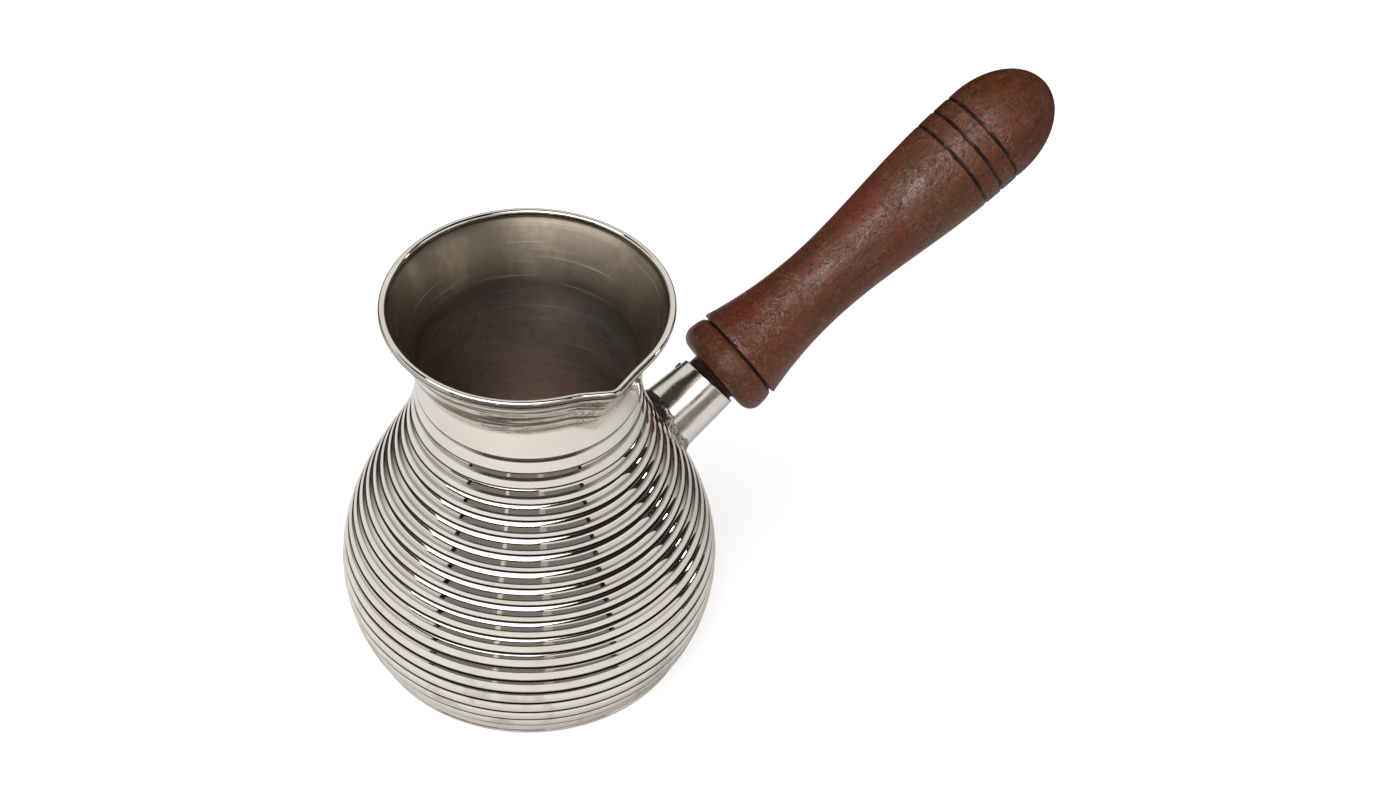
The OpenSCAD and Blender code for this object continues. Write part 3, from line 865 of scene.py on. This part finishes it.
def makeFloor():
    material, tree, shader = newMaterial("paleFloor")
    place = objectPlace(tree)
    # in reflections the pale top ends like a table's, with a dark edge in front and a dark room behind;
    # near the pot's foot it has a painted soft shadow that only reflections show
    far = addMath(tree, "DIVIDE", lengthOf(tree, place), studio["tableReach"])
    table = addRamp(tree, far, [(0.0, 0.72), (0.075, 0.77), (0.1, 1.0), (0.34, 1.0), (0.44, 0.5),
                                (1.0, 0.5)])
    edge = addRamp(tree, far, [(0.36, 0.0), (0.4, 1.0), (1.0, 1.0)])
    end = addRamp(tree, far, [(0.31, 0.0), (0.36, 1.0)])
    outward = addNode(tree, "ShaderNodeVectorMath", {0: place}, operation="NORMALIZE").outputs[0]
    towards = dotWith(tree, outward, studio["viewer"])
    table = tinted(tree, table, studio["tableEdge"], edge, mapRange(tree, towards, *studio["front"]))
    table = tinted(tree, table, studio["tableBack"], end, mapRange(tree, towards, *studio["behind"]))
    path = tree.nodes.new("ShaderNodeLightPath").outputs
    colour = addMix(tree, path["Is Glossy Ray"], (studio["floorColour"],) * 3, table)
    glow = times(tree, path["Is Camera Ray"], studio["floorToCamera"])
    plug(tree, shader, {"Base Color": colour, "Roughness": 0.9, "Specular IOR Level": 0,
                        "Emission Color": (1, 1, 1, 1), "Emission Strength": glow})
    bm = bmesh.new()
    bmesh.ops.create_grid(bm, x_segments=1, y_segments=1, size=studio["floor"] / 2)
    floor = meshObject("floor", bm, [material])


def makeCard(name, azimuth, width, low, high, distance, shade):
    # curved card that only shows in reflections: azimuth, width and two elevations in degrees
    bm = bmesh.new()
    bmesh.ops.create_grid(bm, x_segments=max(1, round(width / 3)), y_segments=1, size=0.5)
    z0, z1 = (distance * math.tan(math.radians(a)) + studio["aimZ"] * mm for a in (low, high))
    for vert in bm.verts:
        a = math.radians(azimuth + width * vert.co.x)
        vert.co = (distance * math.cos(a), distance * math.sin(a), z0 + (z1 - z0) * (vert.co.y + 0.5))
    material = bpy.data.materials.new(name)
    material.use_nodes = True
    tree = material.node_tree
    tree.nodes.clear()
    glow = addNode(tree, "ShaderNodeEmission", {"Color": studio["cardColour"], "Strength": shade})
    addNode(tree, "ShaderNodeOutputMaterial", {"Surface": glow.outputs[0]})
    card = meshObject(name, bm, [material])
    card.visible_camera = False
    card.visible_shadow = False
    card.visible_diffuse = False


def makeLamp(name, azimuth, elevation, distance, across, upright, shade, shine=True, matt=True, only=None):
    # window-like lamp aimed at the pot, with its place and its half widths in degrees
    # shine and matt: whether such surfaces see it; only: the pieces that it lights, if not all
    data = bpy.data.lights.new(name, "AREA")
    data.shape = "RECTANGLE"
    data.size, data.size_y = (2 * distance * math.tan(math.radians(a)) for a in (across, upright))
    data.energy = shade * math.pi * data.size * data.size_y
    lamp = bpy.data.objects.new(name, data)
    bpy.context.scene.collection.objects.link(lamp)
    a, e = math.radians(azimuth), math.radians(elevation)
    away = Vector((math.cos(a) * math.cos(e), math.sin(a) * math.cos(e), math.sin(e)))
    lamp.location = away * distance + Vector((0, 0, studio["aimZ"] * mm))
    lamp.rotation_euler = away.to_track_quat("Z", "Y").to_euler()
    lamp.visible_glossy = shine
    lamp.visible_diffuse = matt
    if only:
        lit = bpy.data.collections.new(name)
        for piece in only:
            lit.objects.link(piece)
        lamp.light_linking.receiver_collection = lit


def makeSky():
    world = bpy.data.worlds.new("studio")
    bpy.context.scene.world = world
    world.use_nodes = True
    tree = world.node_tree
    tree.nodes.clear()
    direction = tree.nodes.new("ShaderNodeTexCoord").outputs["Generated"]
    parts = addNode(tree, "ShaderNodeSeparateXYZ", {0: direction}).outputs
    # the room by the sine of the elevation: grey walls, paler above, dark ceiling, and dark behind the pot
    walls = addRamp(tree, parts["Z"], [(0.0, (0.56, 0.55, 0.53)), (0.34, (0.6, 0.59, 0.57)),
                                       (0.46, (0.84, 0.83, 0.81)), (0.52, (0.72, 0.71, 0.69)),
                                       (0.57, 0.02), (1.0, 0.012)])
    behind = mapRange(tree, dotWith(tree, direction, studio["viewer"]), *studio["behind"])
    walls = addMix(tree, behind, walls, studio["roomBack"])
    seen = tree.nodes.new("ShaderNodeLightPath").outputs["Is Camera Ray"]
    colour = addMix(tree, seen, walls, (1.0, 1.0, 1.0))
    sides = {"Value": parts["X"], "From Min": -1, "From Max": 1, "To Min": studio["skyLeft"],
             "To Max": studio["skyRight"]}
    strength = addNode(tree, "ShaderNodeMapRange", sides).outputs[0]
    sky = addNode(tree, "ShaderNodeBackground", {"Color": colour, "Strength": strength})
    addNode(tree, "ShaderNodeOutputWorld", {"Surface": sky.outputs[0]})


# lamps: azimuth, elevation, distance in m, half widths and brightness
# cards: azimuth, width, lowest and highest elevation, distance in m and brightness
makeFloor()
makeSky()
makeLamp("overhead", 0, 90, 0.95, 16, 16, 1.7, shine=False)
makeLamp("key", -154.5, 55, 1.0, 33.3, 25, 2.2)
makeCard("keySill", -151, 78, 17, 29.5, 0.95, studio["black"])
makeLamp("sparkle", -148, 55, 0.97, 5.3, 5.3, 100, matt=False, only=[woodPiece])
makeLamp("backFill", 58, 38, 1.0, 52, 24, 0.7, matt=False, only=[rimPiece, socketPiece])
makeCard("window", -20, 4.5, 8, 15, 1.2, 9.0)
makeCard("windowFrame", -20, 26, -2, 32, 1.25, 0.02)
# cards of the screen: azimuth, width, distance in m and brightness
screenParts = {"screenLeft": (-153.5, 30, 0.62, studio["screenShade"]),
               "screenGap": (-137, 4, 0.65, 0.7),
               "screenMiddle": (-124.5, 23, 0.62, studio["screenShade"]),
               "screenSlot": (-110.5, 6, 0.65, 0.42),
               "screenRight": (-93.4, 30, 0.62, studio["screenShade"]),
               "screenEndLeft": (-170, 3.2, 0.63, studio["black"]),
               "screenEndRight": (-76.8, 3.4, 0.63, studio["black"])}
for name, (azimuth, width, distance, shade) in screenParts.items():
    makeCard(name, azimuth, width, *studio["screenSpan"], distance, shade)
bpy.context.scene.view_settings.view_transform = "Standard"
print("studio made")
